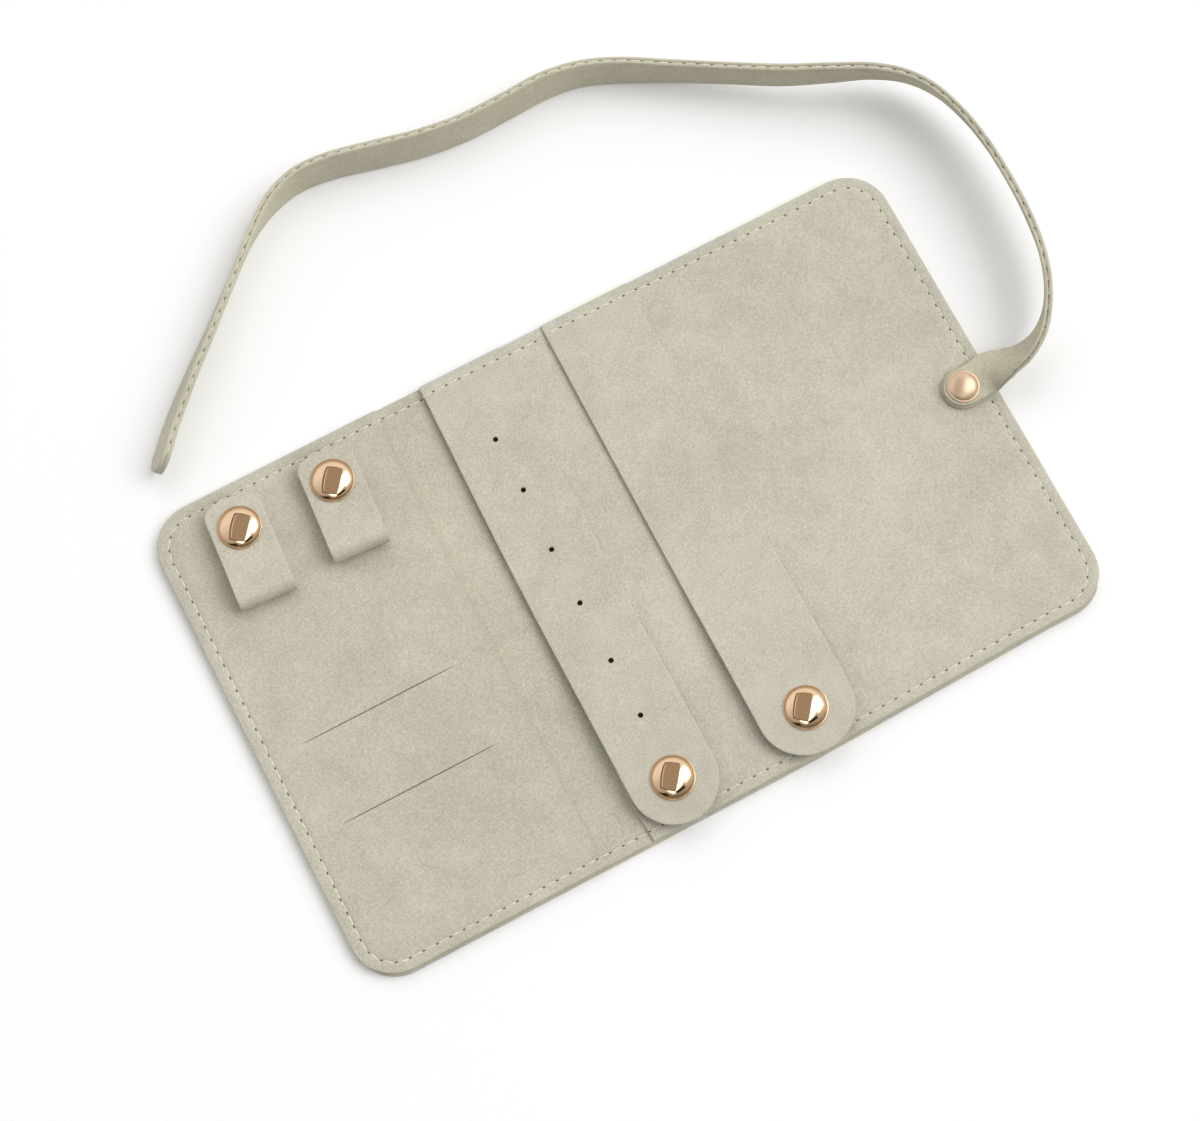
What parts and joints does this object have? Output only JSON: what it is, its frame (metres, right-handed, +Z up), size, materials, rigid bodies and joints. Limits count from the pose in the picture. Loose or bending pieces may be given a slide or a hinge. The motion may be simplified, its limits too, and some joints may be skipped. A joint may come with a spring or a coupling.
{
  "type": "travel jewelry organizer",
  "caption": "Flat fold-out organizer in soft suede with a pierced earring strap, a necklace strap, ring loops, card slits, snap fasteners and a long riveted tie strap.",
  "frame": {"origin": "middle of the open board, on its underside", "axes": "+X along the open board towards the end with the tie strap, +Y across it towards the edge where the straps are sewn, +Z up out of the inner face"},
  "size_m": [0.269, 0.2214, 0.0203],
  "materials": {
    "cover_suede": "matt microsuede, warm sage beige",
    "lining_suede": "matt microsuede, warm sage beige",
    "left_pocket_suede": "matt microsuede, warm sage beige",
    "right_pocket_suede": "matt microsuede, warm sage beige",
    "strap_suede": "matt microsuede, warm sage beige",
    "tie_suede": "matt microsuede, two plies with a sewn edge",
    "rose_gold": "polished rose gold plating",
    "plain_brass": "plain pressed metal, hidden when closed"
  },
  "bodies": {
    "middle_panel": {"cover_middle": "cover_suede", "lining_middle": "lining_suede", "right_pocket_middle": "right_pocket_suede", "earring_strap_hem": "strap_suede", "earring_strap_snap_stud": "plain_brass", "earring_strap_snap_post": "plain_brass", "necklace_strap_hem": "strap_suede", "necklace_strap_snap_stud": "plain_brass", "necklace_strap_snap_post": "plain_brass"},
    "left_spine": {"cover_left_spine": "cover_suede", "lining_left_spine": "lining_suede"},
    "left_panel": {"cover_left": "cover_suede", "lining_left": "lining_suede", "left_pocket": "left_pocket_suede", "ring_loop_1_base": "strap_suede", "ring_loop_1_bend": "strap_suede", "ring_loop_1_snap_stud": "plain_brass", "ring_loop_1_snap_post": "plain_brass", "ring_loop_2_base": "strap_suede", "ring_loop_2_bend": "strap_suede", "ring_loop_2_snap_stud": "plain_brass", "ring_loop_2_snap_post": "plain_brass"},
    "right_spine": {"cover_right_spine": "cover_suede", "lining_right_spine": "lining_suede", "right_pocket_spine": "right_pocket_suede"},
    "right_panel": {"cover_right": "cover_suede", "lining_right": "lining_suede", "right_pocket_right": "right_pocket_suede", "rivet_cap": "rose_gold", "rivet_back": "plain_brass"},
    "earring_strap": {"earring_strap_leaf": "strap_suede", "earring_strap_snap_cap": "rose_gold", "earring_strap_snap_socket": "plain_brass"},
    "necklace_strap": {"necklace_strap_leaf": "strap_suede", "necklace_strap_snap_cap": "rose_gold", "necklace_strap_snap_socket": "plain_brass"},
    "ring_loop_1": {"ring_loop_1_leaf": "strap_suede", "ring_loop_1_snap_cap": "rose_gold", "ring_loop_1_snap_socket": "plain_brass"},
    "ring_loop_2": {"ring_loop_2_leaf": "strap_suede", "ring_loop_2_snap_cap": "rose_gold", "ring_loop_2_snap_socket": "plain_brass"},
    "tie_strap": {"tie_strap": "tie_suede"}
  },
  "joints": [
    {"name": "left_spine_fold", "type": "hinge", "parent": "middle_panel", "child": "left_spine", "pos_m": [-0.033, 0, 0.00275], "axis": [0, 1, 0], "range_deg": [0, 90]},
    {"name": "left_panel_fold", "type": "hinge", "parent": "left_spine", "child": "left_panel", "pos_m": [-0.044, 0, 0.00275], "axis": [0, 1, 0], "range_deg": [0, 90]},
    {"name": "right_spine_fold", "type": "hinge", "parent": "middle_panel", "child": "right_spine", "pos_m": [0.0415, 0, 0.00375], "axis": [0, -1, 0], "range_deg": [0, 85]},
    {"name": "right_panel_fold", "type": "hinge", "parent": "right_spine", "child": "right_panel", "pos_m": [0.0555, 0, 0.00375], "axis": [0, -1, 0], "range_deg": [0, 85]},
    {"name": "earring_strap_lift", "type": "hinge", "parent": "middle_panel", "child": "earring_strap", "pos_m": [-0.0165, 0.06835, 0.00475], "axis": [1, 0, 0], "range_deg": [-165, 0]},
    {"name": "necklace_strap_lift", "type": "hinge", "parent": "middle_panel", "child": "necklace_strap", "pos_m": [0.0241, 0.06835, 0.00475], "axis": [1, 0, 0], "range_deg": [-165, 0]},
    {"name": "ring_loop_1_lift", "type": "hinge", "parent": "left_panel", "child": "ring_loop_1", "pos_m": [-0.09414, 0.03985, 0.00625], "axis": [-0.9976, 0.0698, 0], "range_deg": [-172, 0], "deforming": ["ring_loop_1_bend"]},
    {"name": "ring_loop_2_lift", "type": "hinge", "parent": "left_panel", "child": "ring_loop_2", "pos_m": [-0.06484, 0.03985, 0.00625], "axis": [-0.9976, 0.0698, 0], "range_deg": [-172, 0], "deforming": ["ring_loop_2_bend"]},
    {"name": "tie_strap_swivel", "type": "hinge", "parent": "right_panel", "child": "tie_strap", "pos_m": [0.1083, 0, 0.0046], "axis": [0, 0, 1], "range_deg": [-120, 0]}
  ],
  "couplings": [
    {"joint": "left_panel_fold", "follows": "left_spine_fold", "ratio": 1},
    {"joint": "right_panel_fold", "follows": "right_spine_fold", "ratio": 1}
  ]
}
